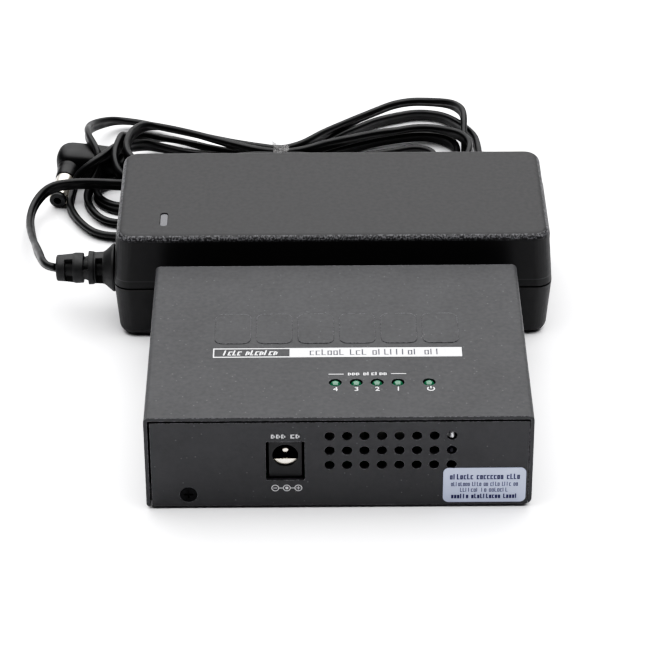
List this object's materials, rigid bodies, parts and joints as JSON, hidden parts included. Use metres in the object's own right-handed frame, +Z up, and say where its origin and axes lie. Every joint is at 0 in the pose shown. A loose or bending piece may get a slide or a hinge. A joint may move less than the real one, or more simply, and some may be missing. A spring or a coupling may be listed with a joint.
{
  "type": "poe injector",
  "caption": "Small steel-cased network power injector with a barrel jack, vents and status lamps in front and stacked sockets behind, with its desktop power adapter and tied lead.",
  "frame": {"origin": "on the resting surface, at the middle of the rectangle that the injector and the adapter's housing cover", "axes": "+Z up; -Y is the injector's front panel with the jack; the adapter stands behind it towards +Y"},
  "size_m": [0.1489, 0.2124, 0.0322],
  "materials": {
    "case_paint": "fine dark grey powder coat with lighter flecks",
    "black_screw": "black oxide",
    "foot_rubber": "matt",
    "label": "printed film",
    "board": "solder mask",
    "paper_board": "phenolic paper board",
    "steel": "plated",
    "black_plastic": "moulded",
    "white_plastic": "moulded nylon",
    "contact_metal": "bright nickel",
    "gold_contact": "gold flash",
    "lamp_lens": "tinted lens",
    "sleeve": "shrunk film",
    "aluminium": "bare",
    "ferrite": "sintered",
    "copper": "enamelled copper wire",
    "fuse_coat": "dipped",
    "tape": "polyester tape",
    "adapter_plastic": "satin, finely textured",
    "lamp_window": "smoked lens",
    "lead_rubber": "soft pvc, satin",
    "tie_plastic": "translucent film"
  },
  "bodies": {
    "injector": {"top_cover": "case_paint", "base_tray": "case_paint", "case_screws": "black_screw", "rubber_feet": "foot_rubber", "rating_label": "label", "assembly_seal": "label", "circuit_board": "board", "standoffs": "steel", "board_screws": "steel", "dc_jack_body": "black_plastic", "dc_jack_pin": "contact_metal", "dc_jack_contact": "contact_metal", "port_lamps": "lamp_lens", "power_lamp": "lamp_lens", "lamp_spacers": "white_plastic", "port_housing": "black_plastic", "port_shield": "steel", "port_contacts": "gold_contact", "isolation_transformers": "black_plastic", "controller_chip": "black_plastic", "chip_leads": "steel", "capacitor_sleeves": "sleeve", "capacitor_cans": "aluminium", "inductor_cores": "ferrite", "inductor_windings": "copper", "resettable_fuses": "fuse_coat", "heat_sink": "aluminium"},
    "power_adapter": {"adapter_top_shell": "adapter_plastic", "adapter_bottom_shell": "adapter_plastic", "adapter_lamp_window": "lamp_window", "adapter_label": "label", "adapter_board": "paper_board", "adapter_core": "ferrite", "adapter_winding": "tape", "adapter_bulk_capacitor": "sleeve", "adapter_output_capacitors": "sleeve", "adapter_heat_sinks": "aluminium", "adapter_line_choke": "ferrite", "inlet_housing": "black_plastic", "inlet_pins": "steel", "strain_relief": "lead_rubber", "lead_start": "lead_rubber", "lead_hank": "lead_rubber", "cord_tie": "tie_plastic", "plug_head": "lead_rubber", "plug_barrel": "contact_metal", "plug_tip": "black_plastic"}
  },
  "joints": [
    {"name": "adapter_apart", "type": "slide", "parent": "injector", "child": "power_adapter", "axis": [0, 1, 0], "range_m": [0, 0.1]}
  ]
}
